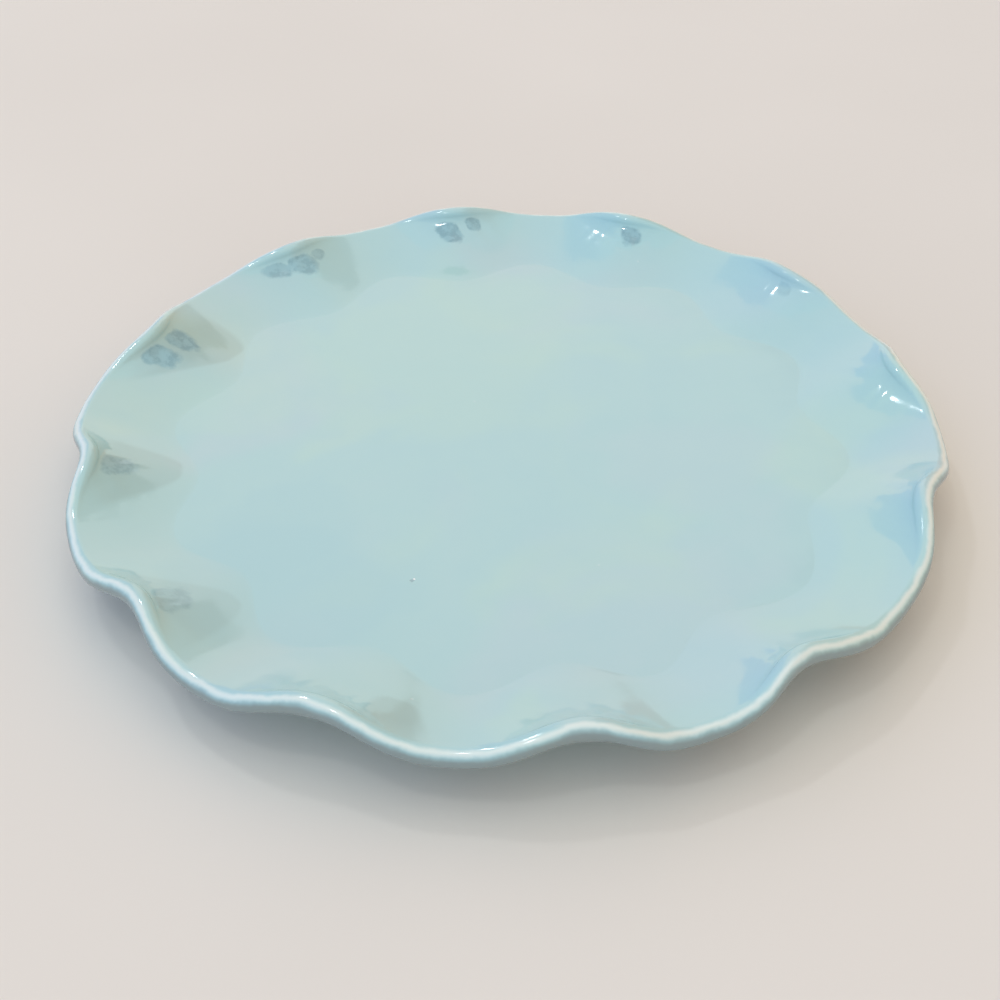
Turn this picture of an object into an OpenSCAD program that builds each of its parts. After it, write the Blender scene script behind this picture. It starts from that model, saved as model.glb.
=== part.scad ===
// Scalloped dessert plate: a round fired clay plate on a foot ring. Its wall is
// pinched inward and upward at twelve places, so the lip runs in soft lobes, and
// a glossy glaze covers it everywhere but on the foot ring.
// Millimetres, +Z up. Origin: centre of the plate, on the surface it stands on.

/* [Plate] */
// Diameter across the lobes, outside of the glaze
plate_d = 204; // [180:1:240]
// Height of the lip's centre line over the middle of the floor, at a lobe
lip_rise = 5.8; // [4:0.1:10]
// Thickness of the fired clay, floor and wall alike
clay_t = 3.8; // [3:0.1:5]
// Thickness of the glaze coat
glaze_t = 0.35; // [0.2:0.05:0.5]

/* [Scallops] */
// How far a pinch pushes the lip in
pinch_in = 3.4; // [0:0.1:7]
// How far a pinch lifts the lip
pinch_up = 4.8; // [0:0.1:8]
// Sharpness of the pinch seen from above (higher is narrower)
pinch_sharp = 2.6; // [1:0.1:3]
// Sharpness of the pinch seen from the side (higher is narrower)
lift_sharp = 1.4; // [1:0.05:3]
// How much of the hand-made irregularity is kept (0 is an even plate)
hand_made = 1; // [0:0.25:1]

/* [Wall] */
// Where the wall starts in a lobe, as a part of the lip's radius
lobe_start = 0.81; // [0.76:0.01:0.88]
// Where the ridge of a pinch starts, as a part of the lip's radius
ridge_start = 0.73; // [0.7:0.01:0.82]
// Slope of the wall at the lip of a lobe, in degrees
lobe_slope = 18; // [10:1:50]
// Slope of the wall at the lip of a pinch, in degrees
ridge_slope = 90; // [60:1:98]
// How far the steep slope keeps to the pinch itself (higher is narrower)
slope_taper = 2; // [0.5:0.1:3]

/* [Foot] */
// Outer diameter of the foot ring
foot_d = 126; // [100:1:140]
// Width of the foot ring
foot_w = 7; // [5:0.5:9]
// Height of the foot ring
foot_h = 5; // [4:0.5:8]
// Rounding of its lower edges
foot_round = 1.2; // [0.5:0.1:2]
// Bare clay left beside the foot ring, where the glaze is wiped back
wipe = 0.8; // [0.5:0.1:2]

/* [Hidden] */

clay = [0.87, 0.83, 0.75];
glaze = [0.69, 0.82, 0.84];

// Thumb marks of the maker, one entry to a pinch: how far it strays from even
// spacing (degrees), its depth beside the mean, how crisp it is beside the mean,
// how far its lip leans along the rim (parts of a scallop), and how far the
// lobe after it stands out (mm).
first_pinch = 8;
stray = [-0.5, 0, 0, 0.5, 0.5, 0.5, 1.5, 1.5, 1, 0, -0.5, -4];
depth = [1.1, 1, 1, 1.05, 1, 1, 1.05, 1.05, 0.95, 0.95, 0.95, 0.95];
crisp = [0.9, 1.05, 0.95, 1, 1.1, 1.2, 0.95, 1, 0.95, 0.65, 0.8, 1.15];
lean = [0.06, 0.02, -0.02, -0.01, -0.01, -0.03, -0.03, 0, 0, 0, -0.01, 0.02];
stand = [0.4, -0.7, -1.5, -0.4, -0.3, 1.1, 1.9, 1, 0, -1.2, -0.3, 0.2];
count = len(stray);

// How far the bends at the foot of the wall and under the lip reach along it, in a
// lobe and in a pinch, as a part of the wall's length
foot_ease = [0.15, 0.15];
lip_ease = [0.14, 0.2];

half_clay = clay_t / 2;
half_all = clay_t / 2 + glaze_t;
lip_r = plate_d / 2 - half_all;
floor_z = foot_h + half_clay;
lip_z = floor_z + lip_rise;
foot_r = min(foot_d / 2, lip_r * ridge_start - wipe - 1);   // stays inside the wall

steps = 10;                 // grid lines to a scallop
n = count * steps;          // grid lines round the plate
wall_n = 6;                 // rings up the wall
bead_n = 3;                 // rings from a face of the wall to the tip of the lip

// ---- round the plate: u counts the pinches, whole numbers are pinches ----
function wrap(k) = ((k % count) + count) % count;
function pinch_at(k) = 360 / count * (k - 1) + first_pinch + hand_made * stray[wrap(k)];
function spline(a, b, c, d, t) =
    0.5 * (2 * b + (c - a) * t + (2 * a - 5 * b + 4 * c - d) * t * t
        + (3 * b - a - 3 * c + d) * t * t * t);
function angle_at(u) = let (k = floor(u))
    spline(pinch_at(k - 1), pinch_at(k), pinch_at(k + 1), pinch_at(k + 2), u - k);
function mix(a, b, t) = a * (1 - t) + b * t;
function ease(t) = (1 - cos(180 * t)) / 2;
// 1 on a pinch, 0 in the middle of a lobe
function pinch(u) = (1 + cos(360 * u)) / 2;
// an entry of a list, eased from pinch to pinch and drawn towards its plain value
function mark_at(list, plain, u) = let (k = floor(u))
    mix(plain, mix(list[wrap(k)], list[wrap(k + 1)], ease(u - k)), hand_made);
function stand_at(u) = let (k = floor(u))
    hand_made * stand[wrap(k)] * pow(sin(180 * (u - k)), 2);

// ---- the section at u: a curve through the middle of the clay ----
function lip_at(u) = let (
        c = pinch(u - mark_at(lean, 0, u)),
        d = mark_at(depth, 1, u),
        q = mark_at(crisp, 1, u))
    [lip_r + stand_at(u) - pinch_in * d * pow(c, pinch_sharp * q),
     lip_z + pinch_up * d * pow(c, lift_sharp * q)];
function slope_at(u) = mix(lobe_slope, ridge_slope, pow(pinch(u), slope_taper));
function start_at(u) = [lip_r * mix(lobe_start, ridge_start, pinch(u)), floor_z];
function lip_dir(u) = [cos(slope_at(u)), sin(slope_at(u))];
function knots(u) = let (a = start_at(u), d = lip_at(u), l = norm(d - a),
        low = l * mix(foot_ease[0], foot_ease[1], pinch(u)),
        high = l * mix(lip_ease[0], lip_ease[1], pinch(u)))
    [a, a + low * [1, 0], d - high * lip_dir(u), d];
function curve(p, s) = pow(1 - s, 3) * p[0] + 3 * pow(1 - s, 2) * s * p[1]
    + 3 * (1 - s) * s * s * p[2] + pow(s, 3) * p[3];
function curve_dir(p, s) = let (v = pow(1 - s, 2) * (p[1] - p[0])
    + 2 * (1 - s) * s * (p[2] - p[1]) + s * s * (p[3] - p[2])) v / norm(v);
function left(v) = [-v[1], v[0]];
// a point of the wall, off the middle curve by w (up is positive)
function wall_pt(u, s, w) = let (p = knots(u)) curve(p, s) + w * left(curve_dir(p, s));
// a point of the rounded lip, a degrees up from its tip
function bead_pt(u, a, w) = let (d = lip_dir(u)) lip_at(u) + w * (cos(a) * d + sin(a) * left(d));

function turn(q, u) = let (a = angle_at(u)) [q[0] * cos(a), q[0] * sin(a), q[1]];
function wall_ring(s, w) = [for (j = [0:n - 1]) turn(wall_pt(j / steps, s, w), j / steps)];
function bead_ring(a, w) = [for (j = [0:n - 1]) turn(bead_pt(j / steps, a, w), j / steps)];
function flat_ring(r, z) = [for (j = [0:n - 1]) turn([r, z], j / steps)];

// rings on the upper face, from the well to just short of the lip's tip
function upper(w) = concat(
    [for (i = [0:wall_n]) wall_ring(i / wall_n, w)],
    [for (i = [1:bead_n - 1]) bead_ring(90 - 90 * i / bead_n, w)]);
// rings on the underside, from just past the lip's tip to the flat floor
function lower(w) = concat(
    [for (i = [bead_n - 1:-1:1]) bead_ring(-90 + 90 * i / bead_n, w)],
    [for (i = [wall_n:-1:0]) wall_ring(i / wall_n, -w)]);
function tip(w) = [bead_ring(0, w)];
function backwards(v) = [for (i = [len(v) - 1:-1:0]) v[i]];

// ---- solids from rings ----
// Two triangles to each cell. Bands from `back` on are laid the other way, so
// that a coat and the clay under it have the same triangles where they touch.
function cell(a, b, c, d, other) = other ? [[a, b, c], [a, c, d]] : [[a, b, d], [b, c, d]];
function bands(m, back) = [for (i = [0:m - 1]) for (j = [0:n - 1])
    each cell(i * n + j, i * n + (j + 1) % n, (i + 1) * n + (j + 1) % n, (i + 1) * n + j, i >= back)];
function seam(m, other) = [for (j = [0:n - 1])
    each cell(m * n + j, m * n + (j + 1) % n, (j + 1) % n, j, other)];
function flat(v) = [for (r = v) each r];

// a fan of triangles from a middle point to ring i
function fan(c, i, other) = [for (j = [0:n - 1])
    other ? [c, i * n + (j + 1) % n, i * n + j] : [c, i * n + j, i * n + (j + 1) % n]];

module capped(rings, back) {
    m = len(rings) - 1;
    e = (m + 1) * n;
    ends = [[0, 0, rings[0][0][2]], [0, 0, rings[m][0][2]]];
    polyhedron(concat(flat(rings), ends), concat(
        fan(e, 0, true), bands(m, back), fan(e + 1, m, false)), convexity = 6);
}

module looped(rings, back) {
    m = len(rings) - 1;
    polyhedron(flat(rings), concat(bands(m, back), seam(m, true)), convexity = 6);
}

// ---- the pieces ----

// The clay: floor, wall and lip in one
module plate_body() {
    color(clay)
        capped(concat(upper(half_clay), tip(half_clay), lower(half_clay)), 1000);
}

// The foot ring under the floor, bare where it stands
module foot_ring() {
    ro = foot_r;
    ri = ro - foot_w;
    color(clay)
        rotate_extrude($fn = 120) {
            translate([ri, foot_round]) square([foot_w, foot_h - foot_round]);
            translate([ri + foot_round, 0]) square([foot_w - 2 * foot_round, foot_h]);
            translate([ri + foot_round, foot_round]) circle(foot_round, $fn = 48);
            translate([ro - foot_round, foot_round]) circle(foot_round, $fn = 48);
        }
}

// The glaze over the well, the wall and the upper half of the lip
module face_glaze() {
    over = concat(upper(half_all), tip(half_all));
    under = concat(upper(half_clay), tip(half_clay));
    color(glaze)
        capped(concat(over, backwards(under)), len(over));
}

// The glaze under the lip and the wall, as far in as the foot ring
module back_glaze() {
    r = foot_r + wipe;
    under = concat(tip(half_clay), lower(half_clay), [flat_ring(r, foot_h)]);
    over = concat(tip(half_all), lower(half_all), [flat_ring(r, foot_h - glaze_t)]);
    color(glaze)
        looped(concat(over, backwards(under)), len(over));
}

// The glaze inside the foot ring
module recess_glaze() {
    color(glaze)
        translate([0, 0, foot_h - glaze_t])
            cylinder(h = glaze_t, r = foot_r - foot_w - wipe, $fn = 120);
}

plate_body();
foot_ring();
face_glaze();
back_glaze();
recess_glaze();
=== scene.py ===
import bpy
import math
import numpy as np
from mathutils import Matrix, Vector


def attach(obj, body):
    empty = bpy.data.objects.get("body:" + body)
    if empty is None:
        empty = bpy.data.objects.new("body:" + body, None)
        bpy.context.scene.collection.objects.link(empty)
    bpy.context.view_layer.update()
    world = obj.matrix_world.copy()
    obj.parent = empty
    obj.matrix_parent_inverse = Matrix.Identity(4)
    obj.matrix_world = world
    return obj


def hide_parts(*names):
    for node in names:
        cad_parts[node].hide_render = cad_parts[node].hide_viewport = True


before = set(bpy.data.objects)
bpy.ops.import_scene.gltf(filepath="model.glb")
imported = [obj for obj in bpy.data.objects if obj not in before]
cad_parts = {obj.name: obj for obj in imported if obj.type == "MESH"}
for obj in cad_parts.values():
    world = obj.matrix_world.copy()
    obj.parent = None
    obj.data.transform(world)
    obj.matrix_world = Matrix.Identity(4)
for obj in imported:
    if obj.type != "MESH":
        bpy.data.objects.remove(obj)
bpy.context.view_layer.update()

MM = 0.001

# ---------------------------------------------------------------- the plate's section
# The same numbers as the construction, in millimetres and degrees, but for the slope at the lip of a pinch: the
# glaze that gathers in the bend under it softens it a little.
PLATE_D = 204.0
LIP_RISE = 5.8
CLAY_T = 3.8
GLAZE_T = 0.35
PINCH_IN, PINCH_UP = 3.4, 4.8
PINCH_SHARP, LIFT_SHARP = 2.6, 1.4
LOBE_START, RIDGE_START = 0.81, 0.73
LOBE_SLOPE, RIDGE_SLOPE, SLOPE_TAPER = 18.0, 76.0, 2.0
FOOT_EASE, LIP_EASE = (0.15, 0.15), (0.14, 0.2)
FOOT_D, FOOT_W, FOOT_H, FOOT_ROUND, WIPE = 126.0, 7.0, 5.0, 1.2, 0.8
FIRST_PINCH = 8.0
STRAY = np.array([-0.5, 0, 0, 0.5, 0.5, 0.5, 1.5, 1.5, 1, 0, -0.5, -4.0])
DEPTH = np.array([1.1, 1, 1, 1.05, 1, 1, 1.05, 1.05, 0.95, 0.95, 0.95, 0.95])
CRISP = np.array([0.9, 1.05, 0.95, 1, 1.1, 1.2, 0.95, 1, 0.95, 0.65, 0.8, 1.15])
LEAN = np.array([0.06, 0.02, -0.02, -0.01, -0.01, -0.03, -0.03, 0, 0, 0, -0.01, 0.02])
STAND = np.array([0.4, -0.7, -1.5, -0.4, -0.3, 1.1, 1.9, 1, 0, -1.2, -0.3, 0.2])
COUNT = len(STRAY)
HALF_CLAY = CLAY_T / 2
HALF_ALL = HALF_CLAY + GLAZE_T
LIP_R = PLATE_D / 2 - HALF_ALL
FLOOR_Z = FOOT_H + HALF_CLAY
LIP_Z = FLOOR_Z + LIP_RISE


def angle_at(u):
    k = np.floor(u).astype(int)
    t = u - k
    base = 360.0 / COUNT * (np.arange(COUNT) - 1) + FIRST_PINCH + STRAY

    def at(i):
        return base[i % COUNT] + 360.0 * np.floor_divide(i, COUNT)

    a, b, c, d = at(k - 1), at(k), at(k + 1), at(k + 2)
    return 0.5 * (2 * b + (c - a) * t + (2 * a - 5 * b + 4 * c - d) * t * t + (3 * b - a - 3 * c + d) * t ** 3)


def mark_at(marks, u):
    k = np.floor(u).astype(int)
    w = (1 - np.cos(np.pi * (u - k))) / 2
    return marks[k % COUNT] * (1 - w) + marks[(k + 1) % COUNT] * w


def knots(u):
    k = np.floor(u).astype(int)
    c = (1 + np.cos(2 * np.pi * u)) / 2
    cl = (1 + np.cos(2 * np.pi * (u - mark_at(LEAN, u)))) / 2
    deep, crisp = mark_at(DEPTH, u), mark_at(CRISP, u)
    out = STAND[k % COUNT] * np.sin(np.pi * (u - k)) ** 2
    r = LIP_R + out - PINCH_IN * deep * cl ** (PINCH_SHARP * crisp)
    z = LIP_Z + PINCH_UP * deep * cl ** (LIFT_SHARP * crisp)
    a = np.stack([LIP_R * (LOBE_START + (RIDGE_START - LOBE_START) * c), np.full_like(r, FLOOR_Z)], -1)
    d = np.stack([r, z], -1)
    slope = np.radians(LOBE_SLOPE + (RIDGE_SLOPE - LOBE_SLOPE) * c ** SLOPE_TAPER)
    way = np.stack([np.cos(slope), np.sin(slope)], -1)
    l = np.linalg.norm(d - a, axis=-1)[:, None]
    low = (FOOT_EASE[0] + (FOOT_EASE[1] - FOOT_EASE[0]) * c)[:, None]
    high = (LIP_EASE[0] + (LIP_EASE[1] - LIP_EASE[0]) * c)[:, None]
    return a, a + low * l * np.array([1.0, 0]), d - high * l * way, d, way


def left(v):
    return np.stack([-v[..., 1], v[..., 0]], -1)


def wall(u, s, w):
    """Section points (s, u, rz) off the middle curve by w."""
    a, b, c, d, way = knots(u)
    s = np.asarray(s, float)[:, None, None]
    p = (1 - s) ** 3 * a + 3 * (1 - s) ** 2 * s * b + 3 * (1 - s) * s * s * c + s ** 3 * d
    t = (1 - s) ** 2 * (b - a) + 2 * (1 - s) * s * (c - b) + s * s * (d - c)
    t = t / np.linalg.norm(t, axis=-1, keepdims=True)
    return p + np.asarray(w)[..., None] * left(t)


def bead(u, deg, w):
    a, b, c, d, way = knots(u)
    q = np.radians(np.asarray(deg, float))[:, None, None]
    return d + np.asarray(w)[..., None] * (np.cos(q) * way + np.sin(q) * left(way))


def turn(rz, u):
    """Section points to space, drawn in by a tenth of a millimetre at the lip, as the construction's flat
    facets lie a little inside the true curve."""
    rz = np.stack([rz[..., 0] - 0.11 * np.clip((rz[..., 0] - 60) / 40, 0, 1.1),
                   rz[..., 1] - 0.20 * np.clip((rz[..., 1] - FLOOR_Z - HALF_ALL) / 11, 0, 1)], -1)
    t = np.radians(angle_at(u))
    return np.stack([rz[..., 0] * np.cos(t), rz[..., 0] * np.sin(t), rz[..., 1]], -1)


# ---------------------------------------------------------------- grids of the surfaces
def columns(per):
    j = np.arange(COUNT * per)
    return j / per - 0.04 * np.sin(2 * np.pi * j / per)


def ripple(x, y):
    """The hand-made unevenness of the face of the glaze, in millimetres (about -0.1 to 0.1)."""
    return (0.034 * np.sin(x / 17.0 + 0.7) * np.sin(y / 21.0 + 1.9)
            + 0.026 * np.sin((x + 0.6 * y) / 13.0 + 2.2)
            + 0.022 * np.sin((y - 0.45 * x) / 11.0 + 0.4)
            + 0.010 * np.sin((x * 0.8 + y) / 6.3) * np.sin((y * 0.7 - x) / 7.1 + 1.0))


def knead(u, s, rings):
    """The marks of the thumb on the steep faces of the pinches, in millimetres off the face."""
    x, y = rings[..., 0], rings[..., 1]
    near = np.exp(-((u - np.round(u)) / 0.20) ** 2)[None, :] * np.sin(np.pi * np.clip((s - 0.48) / 0.52, 0, 1))[:, None] ** 2
    return near * 1.3 * (0.050 * np.sin(x / 0.97 + 0.8) * np.sin(y / 1.06 + 0.3)
                   + 0.040 * np.sin((x + 0.7 * y) / 1.25 + 1.7) + 0.020 * np.sin((x - 1.3 * y) / 0.80))


# Painted shade and painted dark reflections, as darker patches on the steep face of a pinch: the pinch, how far beside
# it and how far up the wall the patch lies, its half width and half height, and its strength.
SHADE_PATCHES = ((2, -0.08, 0.80, 0.045, 0.09, 0.40), (3, -0.07, 0.78, 0.065, 0.13, 0.95), (4, 0.04, 0.73, 0.070, 0.14, 0.95),
           (4, -0.11, 0.80, 0.045, 0.10, 0.85), (5, 0.115, 0.79, 0.062, 0.12, 0.80), (5, -0.03, 0.75, 0.075, 0.14, 0.90),
           (5, -0.15, 0.79, 0.040, 0.08, 0.60), (6, 0.085, 0.74, 0.066, 0.16, 0.95), (6, -0.085, 0.71, 0.066, 0.16, 0.95),
           (7, 0.01, 0.72, 0.070, 0.16, 0.70), (8, 0.04, 0.70, 0.085, 0.16, 0.55))


def shade_patch_marks(u, s):
    """Rings of marks (s, u): how far inside a patch (1 in the middle, 0.5 on its edge), and its strength."""
    s = np.asarray(s, float)[:, None]
    best = np.zeros((len(s), len(u)))
    strength = np.zeros_like(best)
    for k, du, sc, wu, ws, top in SHADE_PATCHES:
        x = ((u - k - du + COUNT / 2) % COUNT - COUNT / 2)[None, :] / wu
        y = (s - sc) / ws
        d = (np.abs(x - 0.25 * y) ** 2.4 + np.abs(y) ** 2.4) ** (1 / 2.4)
        inner_part = np.clip(1.25 - 0.75 * d, 0, 1)
        strength = np.where(inner_part > best, top, strength)
        best = np.maximum(best, inner_part)
    return best, strength


# Painted reflection: greyer tongues from a pinch towards the well, where the pinches mirror the darker surroundings.
# The pinch, how far beside it the tip lies, the radius of the tip and of the end at the lip, how far the tongue leans,
# its half width, how pointed it is, its strength.
REFLECTION_TONGUES = ((6, -0.22, 78.3, 97, 0.20, 0.335, 0.42, 0.85), (7, -0.04, 76.3, 97, 0.07, 0.260, 0.42, 0.75),
          (8, 0.15, 78.0, 98, -0.12, 0.300, 0.52, 0.50), (9, 0.25, 86.2, 99, 0.04, 0.150, 0.30, 0.85))


def reflection_tongue_marks(u, rings):
    r = np.hypot(rings[..., 0], rings[..., 1])
    best = np.zeros(r.shape)
    for k, du, tip, end, lean, wide, blunt, top in REFLECTION_TONGUES:
        t = np.clip((r - tip) / (end - tip), 0, 1)
        side = np.abs(((u - k - du + COUNT / 2) % COUNT - COUNT / 2)[None, :] - lean * t)
        inner_part = np.clip(0.5 + (wide * t ** blunt - side) / 0.035, 0, 1) * np.clip((r - tip) / 0.9, 0, 1)
        best = np.maximum(best, top * inner_part * np.clip((end - r) / 6.0, 0, 1))
    return best


def lip_marks(u, deg):
    """Marks round the lip: 0 where it faces in, about 0.4 where it faces up and 1 where it faces out."""
    way = knots(u)[4]
    slope = np.degrees(np.arctan2(way[:, 1], way[:, 0]))
    return np.clip((108.0 - slope[None, :] - np.asarray(deg, float)[:, None]) / 90.0, 0, 2)


def face_rings(u, w, n_well, n_wall, n_bead, wavy):
    """Rings from the middle of the well to the tip of the lip, on the upper side, with marks for each vertex."""
    wallp = wall(u, np.linspace(0, 1, n_wall + 1), np.full((1, 1), w))
    beadp = bead(u, np.linspace(90, 0, n_bead + 1)[1:], np.full((1, 1), w))
    f = np.linspace(0, 1, n_well + 1)[1:-1]
    f = f ** 0.9
    wellp = wallp[0][None] * np.stack([f, np.ones_like(f)], -1)[:, None, :]
    rings = turn(np.concatenate([wellp, wallp, beadp], 0), u)
    lip = np.concatenate([np.zeros((len(f) + n_wall + 1, len(u))), lip_marks(u, np.linspace(90, 0, n_bead + 1)[1:])])
    shade_patch, strength = shade_patch_marks(u, np.concatenate([np.zeros(len(f)), np.linspace(0, 1, n_wall + 1), np.ones(n_bead) + 0.2]))
    if wavy:
        fade = np.concatenate([np.ones(len(f)), np.linspace(1, 0, n_wall + 1) ** 1.5, np.zeros(n_bead)])
        rings[..., 2] += ripple(rings[..., 0], rings[..., 1]) * fade[:, None]
        out = grid_normals(rings)
        if out[3, 0, 2] < 0:
            out = -out
        up_wall = np.concatenate([np.zeros(len(f)), np.linspace(0, 1, n_wall + 1), np.ones(n_bead)])
        rings = rings + out * knead(u, up_wall, rings)[..., None]
    return rings, lip, shade_patch, strength


def under_rings(u, w, n_bead, n_wall, n_floor, r_in):
    """Rings from the tip of the lip to r_in on the underside; the marks go on from 2 under the lip to 3 at the floor."""
    beadp = bead(u, np.linspace(0, -90, n_bead + 1), np.full((1, 1), w))
    wallp = wall(u, np.linspace(1, 0, n_wall + 1)[1:], np.full((1, 1), -w))
    f = np.linspace(0, 1, n_floor + 1)[1:]
    last = wallp[-1]
    r = last[None, :, 0] + (r_in[None, :] - last[None, :, 0]) * f[:, None]
    floorp = np.stack([r, np.repeat(last[None, :, 1], n_floor, 0)], -1)
    rings = turn(np.concatenate([beadp, wallp, floorp], 0), u)
    down = np.concatenate([np.linspace(2, 3, n_wall + 1)[1:], np.full(n_floor, 3.0)])
    lip = np.concatenate([lip_marks(u, np.linspace(0, -90, n_bead + 1)), np.repeat(down[:, None], len(u), 1)])
    return rings, lip


def grid_normals(rings):
    du = np.roll(rings, -1, 1) - np.roll(rings, 1, 1)
    dv = np.gradient(rings, axis=0)
    n = np.cross(du, dv)
    return n / np.maximum(np.linalg.norm(n, axis=-1, keepdims=True), 1e-12)


def make_mesh(name, verts, faces, normals=None, marks=None):
    me = bpy.data.meshes.new(name)
    me.from_pydata((np.asarray(verts) * MM).tolist(), [], faces)
    me.update()
    me.polygons.foreach_set("use_smooth", [True] * len(me.polygons))
    if marks is not None:
        for key, values in marks.items():
            at = me.attributes.new(key, "FLOAT", "POINT")
            at.data.foreach_set("value", np.asarray(values, np.float32))
    if normals is not None:
        me.normals_split_custom_set_from_vertices(np.asarray(normals).tolist())
    ob = bpy.data.objects.new(name, me)
    bpy.context.scene.collection.objects.link(ob)
    return ob


def ring_faces(m, n, wrap_rows=False):
    """Quads between m rings of n vertices. Rings run so that the normals point out for rings laid from the
    middle of the upper side outward."""
    j = np.arange(n)
    j2 = (j + 1) % n
    out = []
    rows = m if wrap_rows else m - 1
    for i in range(rows):
        i2 = (i + 1) % m
        out.append(np.stack([i * n + j, i2 * n + j, i2 * n + j2, i * n + j2], -1))
    return np.concatenate(out).tolist()


def capped_solid(name, rings, top_z, low_z, normals=None, marks=None):
    """A closed solid: a vertex in the middle, the rings outward and back in, and a vertex in the middle again."""
    m, n = rings.shape[:2]
    verts = np.concatenate([rings.reshape(-1, 3), [[0, 0, top_z], [0, 0, low_z]]])
    faces = ring_faces(m, n)
    j = np.arange(n)
    j2 = (j + 1) % n
    faces += np.stack([np.full(n, m * n), j, j2], -1).tolist()
    faces += np.stack([np.full(n, m * n + 1), (m - 1) * n + j2, (m - 1) * n + j], -1).tolist()
    if normals is not None:
        normals = np.concatenate([normals.reshape(-1, 3), [[0, 0, 1.0], [0, 0, -1.0]]])
    if marks is not None:
        marks = {k: np.concatenate([v.reshape(-1), [v.reshape(-1)[0], v.reshape(-1)[-1]]]) for k, v in marks.items()}
    return make_mesh(name, verts, faces, normals, marks)


def looped_solid(name, rings, normals=None, marks=None):
    m, n = rings.shape[:2]
    if normals is not None:
        normals = normals.reshape(-1, 3)
    if marks is not None:
        marks = {k: v.reshape(-1) for k, v in marks.items()}
    return make_mesh(name, rings.reshape(-1, 3), ring_faces(m, n, True), normals, marks)


PER = 56
u = columns(PER)
theta = np.radians(angle_at(u))

# one skin from the middle of the well over the lip to the foot, for the shape and the normals of both coats
N_WELL, N_WALL, N_BEAD, N_FLOOR = ((48, 44, 18, 20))
up, up_lip, up_shade_patch, up_strength = face_rings(u, HALF_ALL, N_WELL, N_WALL, N_BEAD, True)
edge_r = FOOT_D / 2 + WIPE + 0.25 * np.sin(3 * theta + 0.5) + 0.12 * np.sin(11 * theta + 2)
low, low_lip = under_rings(u, HALF_ALL, N_BEAD, N_WALL, N_FLOOR, edge_r)
skin = np.concatenate([up, low[1:]], 0)
skin_n = grid_normals(skin)
if skin_n[3, 0, 2] < 0:
    skin_n = -skin_n
n_up = len(up)

# the glaze on the face
in_w = (12, 16, 6)
inner = face_rings(u, HALF_CLAY, in_w[0], in_w[1], in_w[2], False)[0]
inner = inner[::-1]
rings = np.concatenate([up, inner], 0)
norms = np.concatenate([skin_n[:n_up], -grid_normals(inner[::-1])[::-1]], 0)
if norms[-1, 0, 2] > 0:
    norms[n_up:] = -norms[n_up:]
blank = np.zeros(inner.shape[:2])
face_coat = capped_solid("face_glaze_coat", rings, FLOOR_Z + HALF_ALL + ripple(0.0, 0.0), FLOOR_Z + HALF_CLAY,
                         norms, {"lip": np.concatenate([up_lip, blank], 0), "shade_patch": np.concatenate([up_shade_patch, blank], 0),
                                 "strength": np.concatenate([up_strength, blank], 0),
                                 "reflection_tongue": np.concatenate([reflection_tongue_marks(u, up), blank], 0)})

# the glaze on the back, its inner edge rounded where it was wiped off
steps_edge = 5
edge = []
lowz = low[-1, :, 2]
for i in range(1, steps_edge + 1):
    q = math.pi / 2 * i / steps_edge
    rr = edge_r - 0.35 * math.sin(q)
    zz = lowz + GLAZE_T * (1 - math.cos(q))
    edge.append(np.stack([rr * np.cos(theta), rr * np.sin(theta), zz], -1))
edge = np.array(edge)
back_in, _ = under_rings(u, HALF_CLAY, in_w[2], in_w[1], 6, edge_r - 0.35)
back_in = back_in[:-1][::-1]
rings = np.concatenate([low, edge, back_in], 0)
norms = np.concatenate([skin_n[n_up - 1:], np.zeros_like(edge), np.zeros_like(back_in)], 0)
full_n = grid_normals(np.concatenate([rings[-2:], rings, rings[:2]], 0))[2:-2]
if full_n[n_up // 2 if n_up // 2 < len(low) else 5, 0, 2] > 0:
    full_n = -full_n
norms[len(low):] = full_n[len(low):]
lipm = np.concatenate([low_lip, np.zeros(edge.shape[:2]), np.zeros(back_in.shape[:2])], 0)
back_coat = looped_solid("back_glaze_coat", rings, norms, {"lip": lipm})

# the glaze inside the foot ring
ri = FOOT_D / 2 - FOOT_W - WIPE
edge_i = ri - 0.2 + 0.15 * np.sin(4 * theta + 1.0) + 0.08 * np.sin(9 * theta)
disc = []
for f in np.linspace(0, 1, 26)[1:]:
    rr = (edge_i - 0.35) * f
    x, y = rr * np.cos(theta), rr * np.sin(theta)
    disc.append(np.stack([x, y, FOOT_H - GLAZE_T + 0.6 * ripple(x * 1.7, y * 1.7 + 30)], -1))
rim_z = disc[-1][:, 2].copy()
for i in range(1, steps_edge + 1):
    q = math.pi / 2 * i / steps_edge
    rr = edge_i - 0.35 + 0.35 * math.sin(q)
    disc.append(np.stack([rr * np.cos(theta), rr * np.sin(theta), rim_z + (FOOT_H - rim_z) * (1 - math.cos(q))], -1))
for f in np.linspace(1, 0, 6)[1:-1]:
    rr = edge_i * f
    disc.append(np.stack([rr * np.cos(theta), rr * np.sin(theta), np.full_like(rr, FOOT_H)], -1))
disc = np.array(disc)[:, ::-1]
recess_coat = capped_solid("recess_glaze_coat", disc, FOOT_H - GLAZE_T, FOOT_H, None, {"lip": np.zeros(disc.shape[:2])})

# the clay under the glaze
uc = columns(PER // 2)
tc = np.radians(angle_at(uc))
c_up = face_rings(uc, HALF_CLAY, 12, 16, 6, False)[0]
c_low, _ = under_rings(uc, HALF_CLAY, 6, 16, 14, np.full(len(uc), 4.0))
clay_body = capped_solid("clay_body", np.concatenate([c_up, c_low[1:]], 0), FLOOR_Z + HALF_CLAY, FOOT_H)

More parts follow.
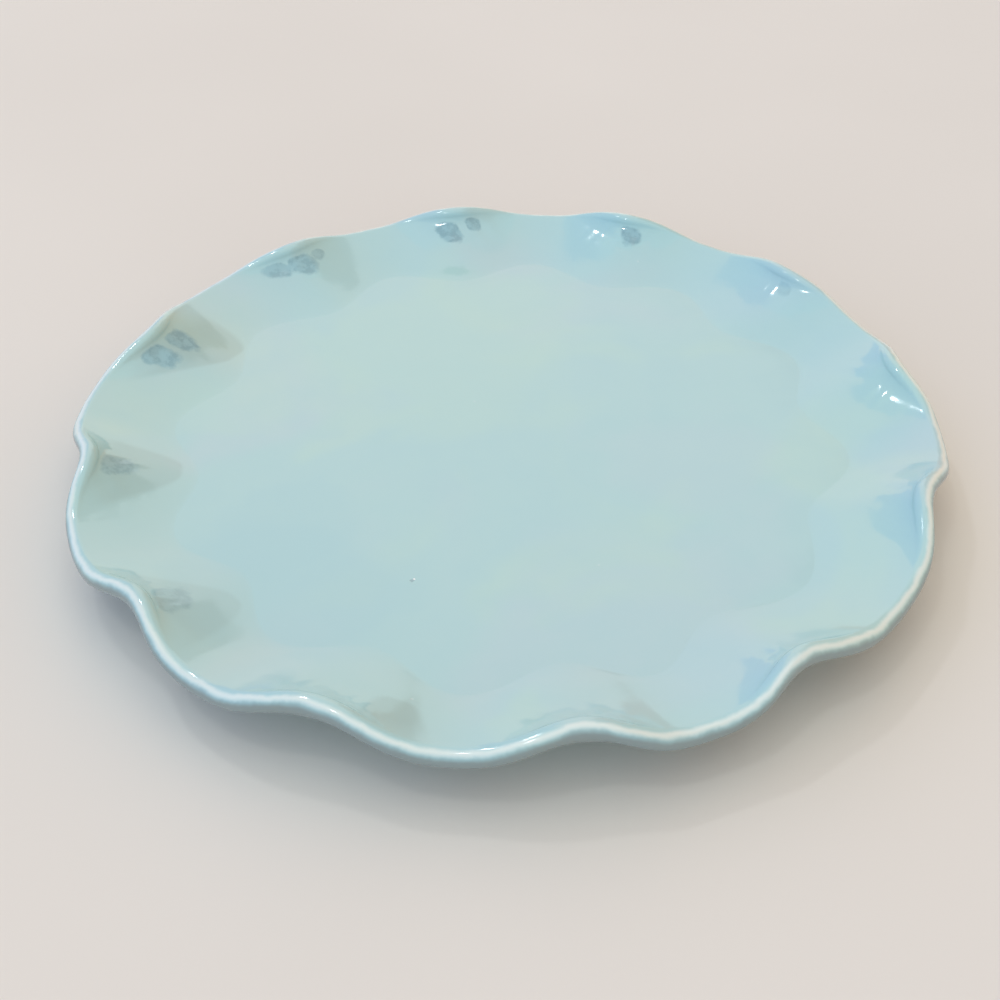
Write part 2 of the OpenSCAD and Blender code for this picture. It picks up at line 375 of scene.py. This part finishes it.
# the foot ring, turned and wiped with a sponge
ft = np.linspace(0, 2 * math.pi, 361)[:-1]
prof = []
ro, rin = FOOT_D / 2, FOOT_D / 2 - FOOT_W
for i in range(9):
    q = math.pi / 2 * i / 8
    prof.append((rin + FOOT_ROUND - FOOT_ROUND * math.cos(q), FOOT_ROUND - FOOT_ROUND * math.sin(q)))
for f in (0.2, 0.4, 0.6, 0.8):
    prof.append((rin + FOOT_ROUND + (FOOT_W - 2 * FOOT_ROUND) * f, 0.0))
for i in range(9):
    q = math.pi / 2 * i / 8
    prof.append((ro - FOOT_ROUND + FOOT_ROUND * math.sin(q), FOOT_ROUND - FOOT_ROUND * math.cos(q)))
for f in (0.25, 0.5, 0.75):
    prof.append((ro, FOOT_ROUND + (FOOT_H - FOOT_ROUND) * f))
prof.append((ro, FOOT_H))
for f in (0.33, 0.66):
    prof.append((ro - FOOT_W * f, FOOT_H))
prof.append((rin, FOOT_H))
for f in (0.75, 0.5, 0.25):
    prof.append((rin, FOOT_ROUND + (FOOT_H - FOOT_ROUND) * f))
rings = []
for r, z in prof:
    sway = 0.12 * np.sin(2 * ft + 0.6) + 0.07 * np.sin(5 * ft + 1.3) - 0.1
    grooves = 0.03 * math.sin(z * 5.0)
    k = 1.0 if z > 0.05 else 0.6
    rr = r + k * sway + grooves * (1 if r > (ro + rin) / 2 else -1)
    rings.append(np.stack([rr * np.cos(ft), rr * np.sin(ft), np.full_like(ft, z)], -1))
foot = looped_solid("foot_ring_clay", np.array(rings))


def fix_normals(ob):
    """Turns a closed mesh right side out."""
    import bmesh
    bm = bmesh.new()
    bm.from_mesh(ob.data)
    if bm.calc_volume(signed=True) < 0:
        bmesh.ops.reverse_faces(bm, faces=bm.faces)
        bm.to_mesh(ob.data)
        flipped = True
    else:
        flipped = False
    bm.free()
    return flipped


for ob in (face_coat, back_coat, recess_coat, clay_body, foot):
    print(ob.name, "flipped" if fix_normals(ob) else "as laid", len(ob.data.polygons))


# ---------------------------------------------------------------- materials
def new_material(name):
    m = bpy.data.materials.new(name)
    m.use_nodes = True
    nt = m.node_tree
    nt.nodes.clear()
    out = nt.nodes.new("ShaderNodeOutputMaterial")
    bsdf = nt.nodes.new("ShaderNodeBsdfPrincipled")
    nt.links.new(bsdf.outputs["BSDF"], out.inputs["Surface"])
    return m, nt, bsdf


def coords(nt):
    t = nt.nodes.new("ShaderNodeTexCoord")
    return t.outputs["Object"]


def noise(nt, vec, scale, detail=2.0, rough=0.5, distortion=0.0):
    n = nt.nodes.new("ShaderNodeTexNoise")
    n.inputs["Scale"].default_value = scale
    n.inputs["Detail"].default_value = detail
    n.inputs["Roughness"].default_value = rough
    n.inputs["Distortion"].default_value = distortion
    nt.links.new(vec, n.inputs["Vector"])
    return n.outputs["Fac"]


def remap(nt, val, a, b, c=0.0, d=1.0, smooth=True):
    n = nt.nodes.new("ShaderNodeMapRange")
    n.interpolation_type = "SMOOTHSTEP" if smooth else "LINEAR"
    n.inputs["From Min"].default_value = a
    n.inputs["From Max"].default_value = b
    n.inputs["To Min"].default_value = c
    n.inputs["To Max"].default_value = d
    nt.links.new(val, n.inputs["Value"])
    return n.outputs["Result"]


def blend(nt, fac, a, b, mode="MIX"):
    n = nt.nodes.new("ShaderNodeMix")
    n.data_type = "RGBA"
    n.blend_type = mode
    for sock, v in ((n.inputs[0], fac), (n.inputs[6], a), (n.inputs[7], b)):
        if isinstance(v, (int, float)):
            sock.default_value = v
        elif isinstance(v, tuple):
            sock.default_value = (*v, 1.0)
        else:
            nt.links.new(v, sock)
    return n.outputs[2]


def math_node(nt, op, a, b=None, clamp=False):
    n = nt.nodes.new("ShaderNodeMath")
    n.operation = op
    n.use_clamp = clamp
    for i, v in enumerate((a, b)):
        if v is None:
            continue
        if isinstance(v, (int, float)):
            n.inputs[i].default_value = v
        else:
            nt.links.new(v, n.inputs[i])
    return n.outputs[0]


def bump(nt, height, strength, distance, normal=None):
    n = nt.nodes.new("ShaderNodeBump")
    n.inputs["Strength"].default_value = strength
    n.inputs["Distance"].default_value = distance
    nt.links.new(height, n.inputs["Height"])
    if normal is not None:
        nt.links.new(normal, n.inputs["Normal"])
    return n.outputs["Normal"]


AQUA = (0.41, 0.64, 0.66)
AQUA_DEEP = (0.37, 0.61, 0.66)
PINK = (0.46, 0.62, 0.67)
GREEN = (0.45, 0.67, 0.62)
SHADE_PATCH_DARK = (0.20, 0.37, 0.43)
SHADE_PATCH_PALE = (0.27, 0.47, 0.53)
UNDER_LIP_SHADE = (0.25, 0.30, 0.30)
CREAM_AND_HIGHLIGHT = (0.88, 0.90, 0.84)


def spot(nt, at, middle, wide, deep, soft, share):
    """A soft-edged patch round a point of the plate, given in millimetres, with a drifting outline."""
    off = nt.nodes.new("ShaderNodeVectorMath")
    off.operation = "SUBTRACT"
    nt.links.new(at, off.inputs[0])
    off.inputs[1].default_value = tuple(v * MM for v in middle)
    scale = nt.nodes.new("ShaderNodeVectorMath")
    scale.operation = "MULTIPLY"
    nt.links.new(off.outputs["Vector"], scale.inputs[0])
    scale.inputs[1].default_value = (1 / (wide * MM), 1 / (deep * MM), 1 / (wide * MM))
    length = nt.nodes.new("ShaderNodeVectorMath")
    length.operation = "LENGTH"
    nt.links.new(scale.outputs["Vector"], length.inputs[0])
    far = math_node(nt, "ADD", length.outputs["Value"], remap(nt, noise(nt, at, 1.0 / (wide * MM), 3.0, 0.5), 0.3, 0.7, -0.3, 0.3))
    return remap(nt, far, 1.0 - soft / 2, 1.0 + soft / 2, share, 0.0)


def glaze_material(name):
    m, nt, b = new_material(name)
    at = coords(nt)
    big = noise(nt, at, 14.0, 2.0, 0.5, 0.6)
    big2 = noise(nt, at, 21.0, 2.0, 0.5, 0.8)
    mid = noise(nt, at, 90.0, 3.0, 0.55)
    fine = noise(nt, at, 900.0, 2.0, 0.6)
    c = blend(nt, remap(nt, big, 0.48, 0.66, 0.0, 0.55), AQUA, PINK)
    c = blend(nt, remap(nt, big2, 0.50, 0.68, 0.0, 0.55), c, GREEN)
    c = blend(nt, remap(nt, mid, 0.35, 0.75, 0.0, 0.22), c, AQUA_DEEP)
    # broad drifts of tint in the well, a darker mark on the far wall and one pinhole, as on the plate shown
    for x, y, z, radius, tint, share in ((-9, 38, 9, 34, GREEN, 0.40), (-47, -52, 10, 22, AQUA_DEEP, 0.50),
                                         (43, -11, 9, 24, PINK, 0.30), (-52, -30, 9, 16, AQUA_DEEP, 0.30)):
        c = blend(nt, spot(nt, at, (x, y, z), radius, radius * 0.9, 0.45, share), c, tint)
    c = blend(nt, spot(nt, at, (-13.3, 76.3, 9.6), 3.4, 1.6, 1.1, 0.55), c, (0.31, 0.56, 0.55))
    # painted reflection: the greyer tongues from the pinches towards the well
    reflection_tongue = nt.nodes.new("ShaderNodeAttribute")
    reflection_tongue.attribute_name = "reflection_tongue"
    c = blend(nt, reflection_tongue.outputs["Fac"], c, (0.87, 0.86, 0.845), "MULTIPLY")
    # painted shade and painted dark reflections: darker patches on the steep faces of the pinches
    shade_patch = nt.nodes.new("ShaderNodeAttribute")
    shade_patch.attribute_name = "shade_patch"
    strength = nt.nodes.new("ShaderNodeAttribute")
    strength.attribute_name = "strength"
    edge = remap(nt, noise(nt, at, 230.0, 3.0, 0.6), 0.3, 0.7, -0.12, 0.12)
    rough_shade_patch = math_node(nt, "ADD", shade_patch.outputs["Fac"], edge)
    deep = math_node(nt, "MULTIPLY", remap(nt, rough_shade_patch, 0.35, 0.66), strength.outputs["Fac"])
    tone = blend(nt, remap(nt, noise(nt, at, 420.0, 3.0, 0.6), 0.40, 0.60), SHADE_PATCH_DARK, SHADE_PATCH_PALE)
    c = blend(nt, math_node(nt, "MULTIPLY", deep, 0.92), c, tone)
    # where the glaze runs thin over the top of the lip the pale clay shows, with a painted highlight along it, and
    # painted shade makes the outer face greyer under the lip
    lip = nt.nodes.new("ShaderNodeAttribute")
    lip.attribute_name = "lip"
    ragged = math_node(nt, "ADD", lip.outputs["Fac"], remap(nt, noise(nt, at, 160.0, 3.0, 0.6), 0.3, 0.7, -0.07, 0.07))
    thin_glaze_and_highlight = math_node(nt, "MULTIPLY", remap(nt, ragged, 0.16, 0.46), remap(nt, ragged, 0.48, 0.80, 1.0, 0.0))
    outer = math_node(nt, "MULTIPLY", remap(nt, ragged, 0.56, 1.04, 0.0, 0.92), remap(nt, ragged, 2.1, 2.8, 1.0, 0.0))
    c = blend(nt, outer, c, UNDER_LIP_SHADE)
    c = blend(nt, math_node(nt, "MULTIPLY", thin_glaze_and_highlight, 0.68), c, CREAM_AND_HIGHLIGHT)
    # specks and pinholes
    vor = nt.nodes.new("ShaderNodeTexVoronoi")
    vor.inputs["Scale"].default_value = 260.0
    nt.links.new(at, vor.inputs["Vector"])
    seed = nt.nodes.new("ShaderNodeSeparateColor")
    nt.links.new(vor.outputs["Color"], seed.inputs["Color"])
    few = math_node(nt, "GREATER_THAN", seed.outputs["Red"], 0.985)
    near = remap(nt, vor.outputs["Distance"], 0.05, 0.12, 1.0, 0.0)
    speck = math_node(nt, "MULTIPLY", few, near)
    c = blend(nt, math_node(nt, "MULTIPLY", speck, 0.35), c, (0.62, 0.74, 0.76))
    # one pinhole: a darker pit, with a painted glint on its rim
    hole = spot(nt, at, (-20.8, -48.4, 9.15), 0.45, 0.45, 0.6, 1.0)
    c = blend(nt, hole, c, (0.30, 0.46, 0.50))
    c = blend(nt, spot(nt, at, (-20.3, -48.0, 9.15), 0.26, 0.26, 0.5, 0.9), c, (0.95, 0.97, 0.97))
    speck = math_node(nt, "MAXIMUM", speck, hole)
    nt.links.new(c, b.inputs["Base Color"])
    nt.links.new(remap(nt, mid, 0.3, 0.7, 0.07, 0.12), b.inputs["Roughness"])
    b.inputs["IOR"].default_value = 1.65
    peel = noise(nt, at, 240.0, 2.0, 0.5)
    h = math_node(nt, "ADD", math_node(nt, "MULTIPLY", peel, 1.0), math_node(nt, "MULTIPLY", speck, -1.5))
    n1 = bump(nt, h, 0.10, 0.0003)
    n2 = bump(nt, fine, 0.05, 0.00005, n1)
    nt.links.new(n2, b.inputs["Normal"])
    return m


def clay_material(name, base, dark, rough):
    m, nt, b = new_material(name)
    at = coords(nt)
    body = noise(nt, at, 60.0, 4.0, 0.6)
    grit = noise(nt, at, 1400.0, 3.0, 0.7)
    c = blend(nt, remap(nt, body, 0.3, 0.7), base, dark)
    vor = nt.nodes.new("ShaderNodeTexVoronoi")
    vor.inputs["Scale"].default_value = 700.0
    nt.links.new(at, vor.inputs["Vector"])
    seed = nt.nodes.new("ShaderNodeSeparateColor")
    nt.links.new(vor.outputs["Color"], seed.inputs["Color"])
    few = math_node(nt, "GREATER_THAN", seed.outputs["Green"], 0.93)
    near = remap(nt, vor.outputs["Distance"], 0.12, 0.3, 1.0, 0.0)
    speck = math_node(nt, "MULTIPLY", few, near)
    c = blend(nt, math_node(nt, "MULTIPLY", speck, 0.5), c, (0.36, 0.29, 0.22))
    nt.links.new(c, b.inputs["Base Color"])
    nt.links.new(remap(nt, grit, 0.3, 0.7, rough - 0.08, rough + 0.08), b.inputs["Roughness"])
    nt.links.new(bump(nt, grit, 0.35, 0.00012), b.inputs["Normal"])
    return m


glaze = glaze_material("aqua_glaze_finish")
fired = clay_material("fired_clay_finish", (0.72, 0.66, 0.56), (0.62, 0.55, 0.45), 0.75)
bare = clay_material("bare_clay_finish", (0.70, 0.63, 0.53), (0.60, 0.52, 0.42), 0.8)

for ob, mat, node, slot in (
    (face_coat, glaze, "face_glaze", "aqua_glaze"),
    (back_coat, glaze, "back_glaze", "aqua_glaze"),
    (recess_coat, glaze, "recess_glaze", "aqua_glaze"),
    (clay_body, fired, "plate_body", "fired_clay"),
    (foot, bare, "foot_ring", "bare_clay"),
):
    ob.data.materials.append(mat)
    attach(ob, "root")
    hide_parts(node)

# the construction's own nodes are hidden behind these pieces, and carry the same finishes
for name, mat in (("face_glaze", glaze), ("back_glaze", glaze), ("recess_glaze", glaze), ("plate_body", fired),
                  ("foot_ring", bare)):
    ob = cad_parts[name]
    ob.data.materials.clear()
    ob.data.materials.append(mat)

# ---------------------------------------------------------------- floor
half = 2.5
fm = bpy.data.meshes.new("studio_floor")
gx = np.linspace(-half, half, 21)
fv = [(float(x), float(y), 0.0) for y in gx for x in gx]
ff = [(i * 21 + j, i * 21 + j + 1, (i + 1) * 21 + j + 1, (i + 1) * 21 + j) for i in range(20) for j in range(20)]
fm.from_pydata(fv, [], ff)
floor = bpy.data.objects.new("studio_floor", fm)
bpy.context.scene.collection.objects.link(floor)
m, nt, b = new_material("studio_paper")
at = coords(nt)
c = blend(nt, remap(nt, noise(nt, at, 3.0, 3.0, 0.5), 0.3, 0.7), (0.74, 0.70, 0.65), (0.78, 0.74, 0.69))
nt.links.new(c, b.inputs["Base Color"])
b.inputs["Roughness"].default_value = 0.85
nt.links.new(bump(nt, noise(nt, at, 900.0, 3.0, 0.6), 0.08, 0.0002), b.inputs["Normal"])
fm.materials.append(m)

# ---------------------------------------------------------------- light
WORLD_STRENGTH = 1.0

scene = bpy.context.scene
scene.view_settings.view_transform = "Standard"
world = bpy.data.worlds.new("studio")
scene.world = world
world.use_nodes = True
wt = world.node_tree
wt.nodes.clear()
wout = wt.nodes.new("ShaderNodeOutputWorld")
bg = wt.nodes.new("ShaderNodeBackground")
wt.links.new(bg.outputs[0], wout.inputs["Surface"])
wc = wt.nodes.new("ShaderNodeTexCoord")
sep = wt.nodes.new("ShaderNodeSeparateXYZ")
wt.links.new(wc.outputs["Generated"], sep.inputs[0])
# degrees: azimuth 0 is away from the viewer and 90 to the right, elevation 0 is level
az = math_node(wt, "MULTIPLY", math_node(wt, "ARCTAN2", sep.outputs["X"], sep.outputs["Y"]), 180 / math.pi)
el = math_node(wt, "MULTIPLY", math_node(wt, "ARCSINE", sep.outputs["Z"]), 180 / math.pi)


def between(val, a, b, soft):
    """1 between a and b, 0 outside, with edges `soft` wide."""
    up_edge = remap(wt, val, a - soft / 2, a + soft / 2)
    return math_node(wt, "MULTIPLY", up_edge, remap(wt, val, b - soft / 2, b + soft / 2, 1.0, 0.0))


def ramp_sum(val, start, steps):
    """start, plus d for each (a, b, d) as val goes from a to b"""
    total = start
    for a, b, d in steps:
        total = math_node(wt, "ADD", remap(wt, val, a, b, 0.0, d, smooth=False), total)
    return total


LEFT_SIDE = (0.61, 0.70, 0.98)
RIGHT_SIDE = (0.76, 0.47, 0.28)
BEHIND = (0.74, 0.88, 0.96)
BACKDROP = (0.74, 0.70, 0.66)
CEILING = (1.18, 1.28, 1.22)
PANEL, PANEL_LOW = (1.41, 1.21, 1.06), (1.15, 1.11, 0.99)
# the bright panel stands beyond the plate; lower down it is narrower
right_edge = ramp_sum(el, 8.5, ((3, 5, 2.0), (12, 15, 1.0), (21, 29, -2.7), (29, 31, 2.2), (31, 33, 4.8), (33, 37, 4.2), (40, 45, -2.2),
                                (46, 47, 0.8), (47, 49, 5.9), (53, 58, 3.5)))
left_edge = ramp_sum(el, -16.0, ((2, 5, 4.5), (7, 10, 1.3), (17, 19.5, -2.1), (23, 26, -2.0), (28, 31, -4.2), (34, 38, -3.0),
                                 (44, 47, 1.0), (48, 52, -2.5), (54, 58, -2.5)))
off_right = math_node(wt, "SUBTRACT", az, right_edge)
off_left = math_node(wt, "SUBTRACT", az, left_edge)
sides = blend(wt, remap(wt, az, -1.0, 1.0), LEFT_SIDE, RIGHT_SIDE)
back = math_node(wt, "MAXIMUM", remap(wt, az, 110, 150), remap(wt, az, -150, -110, 1.0, 0.0))
sides = blend(wt, back, sides, BEHIND)
inside = math_node(wt, "MULTIPLY", remap(wt, off_right, -0.5, 0.5, 1.0, 0.0), remap(wt, off_left, -0.5, 0.5))
panel = blend(wt, remap(wt, el, 8, 22, 1.0, 0.0), PANEL, PANEL_LOW)
col = blend(wt, inside, sides, panel)
col = blend(wt, math_node(wt, "MULTIPLY", remap(wt, el, 54, 66), math_node(wt, "SUBTRACT", 1.0, inside)), col, CEILING)
# the camera itself sees plain studio paper behind the floor, and the glaze mirrors the studio
path = wt.nodes.new("ShaderNodeLightPath")
col = blend(wt, path.outputs["Is Camera Ray"], col, BACKDROP)
wt.links.new(col, bg.inputs["Color"])
bg.inputs["Strength"].default_value = WORLD_STRENGTH


def area(name, azimuth, elevation, distance, w, h, power, color=(1, 1, 1)):
    """A soft box seen from the plate at that azimuth (0 is away from the viewer, 90 to the right)."""
    a, e = math.radians(azimuth), math.radians(elevation)
    pos = Vector((math.sin(a) * math.cos(e), math.cos(a) * math.cos(e), math.sin(e))) * distance
    l = bpy.data.lights.new(name, "AREA")
    l.shape = "RECTANGLE"
    l.size, l.size_y = w, h
    l.energy = power
    l.color = color
    ob = bpy.data.objects.new(name, l)
    ob.location = pos
    ob.rotation_euler = (-pos).to_track_quat("-Z", "Y").to_euler()
    scene.collection.objects.link(ob)
    return ob


area("window_left", -46, 59, 1.6, 0.11, 0.08, 1.5, (0.92, 0.97, 1.0))
area("window_far_left", -124, 70, 1.6, 0.09, 0.08, 0.9, (0.92, 0.97, 1.0))

# ---------------------------------------------------------------- camera
F_PX = 1300.0
DIST, ELEV, ROLL = 289.96, 40.80, -0.94
TX, TY, TZ = -1.80, -26.79, 12.6
e, r = math.radians(ELEV), math.radians(ROLL)
pos = Vector((TX, TY - DIST * math.cos(e), TZ + DIST * math.sin(e))) * MM
fw = Vector((0, math.cos(e), -math.sin(e)))
rt = Vector((1, 0, 0))
upv = rt.cross(fw)
rt2 = rt * math.cos(r) + upv * math.sin(r)
up2 = upv * math.cos(r) - rt * math.sin(r)
cam = bpy.data.cameras.new("photo_view")
cam.sensor_fit = "HORIZONTAL"
cam.sensor_width = 36.0
cam.lens = F_PX * 36.0 / 1000.0
cam.clip_start = 0.01
cam.clip_end = 20.0
co = bpy.data.objects.new("photo_view", cam)
mat = Matrix((rt2, up2, -fw)).transposed().to_4x4()
mat.translation = pos
co.matrix_world = mat
scene.collection.objects.link(co)
scene.camera = co

bpy.context.view_layer.update()
